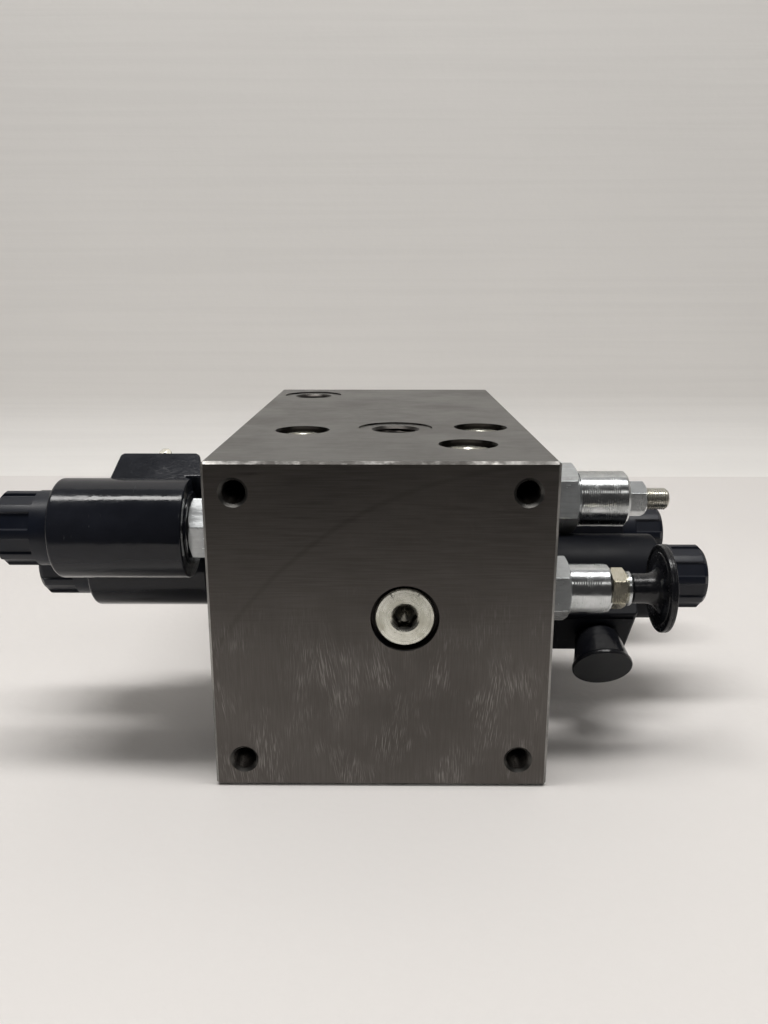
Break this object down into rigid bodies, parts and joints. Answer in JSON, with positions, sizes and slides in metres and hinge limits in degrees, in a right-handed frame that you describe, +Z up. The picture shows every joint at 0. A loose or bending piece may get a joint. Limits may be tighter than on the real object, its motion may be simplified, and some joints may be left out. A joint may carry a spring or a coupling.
{
  "type": "hydraulic manifold block with solenoid cartridge valves",
  "caption": "Square steel manifold block with tapped ports and plugs on its faces, black solenoid coils, a steel needle valve and a knobbed flow valve on its sides.",
  "frame": {"origin": "centre of the block's underside", "axes": "+X to the right along the cartridges, +Y from the front face to the rear, +Z up"},
  "size_m": [0.287, 0.235, 0.125],
  "materials": {
    "block": "ground, fine lay, lightly oiled",
    "plug_steel": "turned, zinc plated",
    "zinc_steel": "turned and bright zinc plated",
    "yellow_zinc": "zinc plated with a faint yellow tint",
    "bright_steel": "ground bright",
    "coil_plastic": "glossy moulded black",
    "nut_plastic": "satin moulded black",
    "knob_plastic": "polished black with concentric ridges",
    "cap_rubber": "soft moulded black",
    "black_rubber": "moulded rings",
    "tinned_brass": "tinned blades"
  },
  "bodies": {
    "manifold": {"manifold_block": "block", "front_plug": "plug_steel", "front_plug_seal": "black_rubber", "top_plugs": "plug_steel", "top_plug_seals": "black_rubber", "valve_body_left_front": "zinc_steel", "valve_seals_left_front": "black_rubber", "armature_tube_left_front": "zinc_steel", "return_spring_left_front": "bright_steel", "coil_left_front": "coil_plastic", "terminals_left_front": "tinned_brass", "coil_nut_left_front": "nut_plastic", "valve_body_left_rear": "zinc_steel", "valve_seals_left_rear": "black_rubber", "armature_tube_left_rear": "zinc_steel", "return_spring_left_rear": "bright_steel", "coil_left_rear": "coil_plastic", "terminals_left_rear": "tinned_brass", "coil_nut_left_rear": "nut_plastic", "valve_body_right_front": "zinc_steel", "valve_seals_right_front": "black_rubber", "armature_tube_right_front": "zinc_steel", "return_spring_right_front": "bright_steel", "coil_right_front": "coil_plastic", "coil_nut_right_front": "nut_plastic", "valve_body_right_rear": "zinc_steel", "valve_seals_right_rear": "black_rubber", "armature_tube_right_rear": "zinc_steel", "return_spring_right_rear": "bright_steel", "coil_right_rear": "coil_plastic", "terminals_right_rear": "tinned_brass", "coil_nut_right_rear": "nut_plastic", "connector_cap": "cap_rubber", "needle_valve_body": "zinc_steel", "needle_valve_seals": "black_rubber", "needle_sleeve": "zinc_steel", "needle_locknut": "zinc_steel", "knob_valve_body": "yellow_zinc", "knob_valve_seals": "black_rubber", "knob_sleeve": "zinc_steel", "knob_locknut": "yellow_zinc", "knob_collar": "yellow_zinc"},
    "armature_left_front": {"armature_left_front": "bright_steel", "poppet_rod_left_front": "bright_steel"},
    "armature_left_rear": {"armature_left_rear": "bright_steel", "poppet_rod_left_rear": "bright_steel"},
    "armature_right_front": {"armature_right_front": "bright_steel", "poppet_rod_right_front": "bright_steel"},
    "armature_right_rear": {"armature_right_rear": "bright_steel", "poppet_rod_right_rear": "bright_steel"},
    "needle": {"needle": "bright_steel"},
    "needle_screw": {"needle_screw": "zinc_steel"},
    "knob_needle": {"knob_needle": "bright_steel"},
    "hand_knob": {"knob_stem": "bright_steel", "hand_knob": "knob_plastic"}
  },
  "joints": [
    {"name": "armature_stroke_left_front", "type": "slide", "parent": "manifold", "child": "armature_left_front", "axis": [-1, 0, 0], "range_m": [0, 0.003], "stiffness_N_per_m": 1500, "springref_m": -0.004, "deforming": ["return_spring_left_front"]},
    {"name": "armature_stroke_left_rear", "type": "slide", "parent": "manifold", "child": "armature_left_rear", "axis": [-1, 0, 0], "range_m": [0, 0.003], "stiffness_N_per_m": 1500, "springref_m": -0.004, "deforming": ["return_spring_left_rear"]},
    {"name": "armature_stroke_right_front", "type": "slide", "parent": "manifold", "child": "armature_right_front", "axis": [1, 0, 0], "range_m": [0, 0.003], "stiffness_N_per_m": 1500, "springref_m": -0.004, "deforming": ["return_spring_right_front"]},
    {"name": "armature_stroke_right_rear", "type": "slide", "parent": "manifold", "child": "armature_right_rear", "axis": [1, 0, 0], "range_m": [0, 0.003], "stiffness_N_per_m": 1500, "springref_m": -0.004, "deforming": ["return_spring_right_rear"]},
    {"name": "needle_travel", "type": "slide", "parent": "manifold", "child": "needle", "axis": [1, 0, 0], "range_m": [-0.003, 0.003]},
    {"name": "needle_turn", "type": "hinge", "parent": "needle", "child": "needle_screw", "pos_m": [0.115, -0.0245, 0.0901], "axis": [1, 0, 0], "range_deg": [-1081, 1081]},
    {"name": "knob_travel", "type": "slide", "parent": "manifold", "child": "knob_needle", "axis": [1, 0, 0], "range_m": [0, 0.003]},
    {"name": "knob_turn", "type": "hinge", "parent": "knob_needle", "child": "hand_knob", "pos_m": [0.105, -0.0925, 0.0705], "axis": [1, 0, 0], "range_deg": [0, 1081]}
  ],
  "couplings": [
    {"joint": "needle_turn", "follows": "needle_travel", "rad_per_m": 6283.2},
    {"joint": "knob_turn", "follows": "knob_travel", "rad_per_m": 6283.2}
  ]
}
